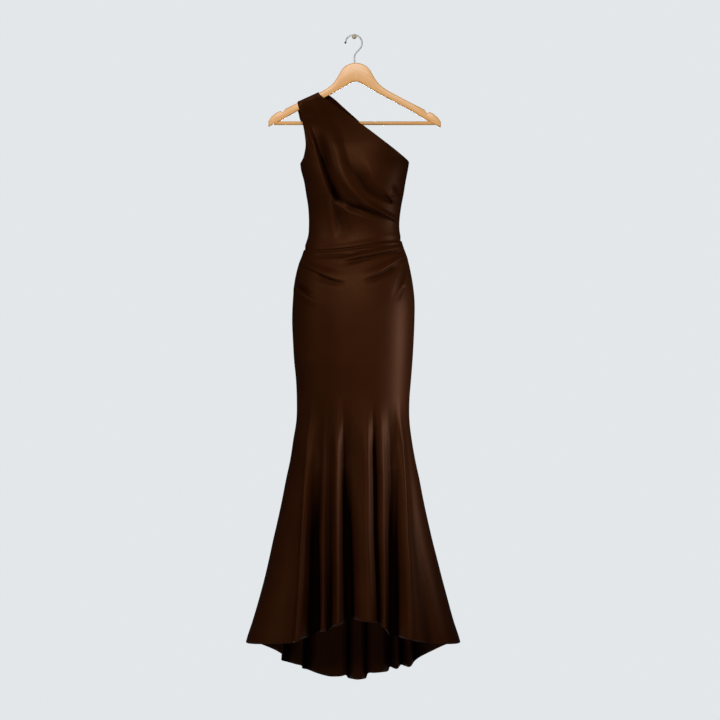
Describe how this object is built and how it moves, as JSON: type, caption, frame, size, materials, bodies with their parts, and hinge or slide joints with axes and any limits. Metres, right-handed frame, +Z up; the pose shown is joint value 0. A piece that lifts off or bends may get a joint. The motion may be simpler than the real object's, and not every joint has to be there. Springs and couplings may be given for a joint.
{
  "type": "evening gown on a wooden hanger",
  "caption": "Floor-length one-shoulder satin gown with draped bodice and hip and a flared train, hanging filled out on a wooden hanger from a wall peg.",
  "frame": {"origin": "top of the inside of the hanger's hook, where it bears on the peg", "axes": "+Z up, +X to the viewer's right, +Y away from the viewer towards the wall, so the gown's front faces -Y"},
  "size_m": [0.552, 0.3273, 1.6967],
  "materials": {
    "satin": "satin",
    "beech": "satin",
    "plated_steel": "polished",
    "rubber": "matte",
    "brass": "brushed"
  },
  "bodies": {
    "root": {"bodice_front": "satin", "bodice_back": "satin", "skirt_front": "satin", "skirt_back_left": "satin", "skirt_back_right": "satin", "hanger_arm_left": "beech", "hanger_arm_right": "beech", "hanger_bar": "beech", "hanger_hook": "plated_steel", "hook_tip": "rubber", "wall_peg": "brass"}
  },
  "joints": []
}
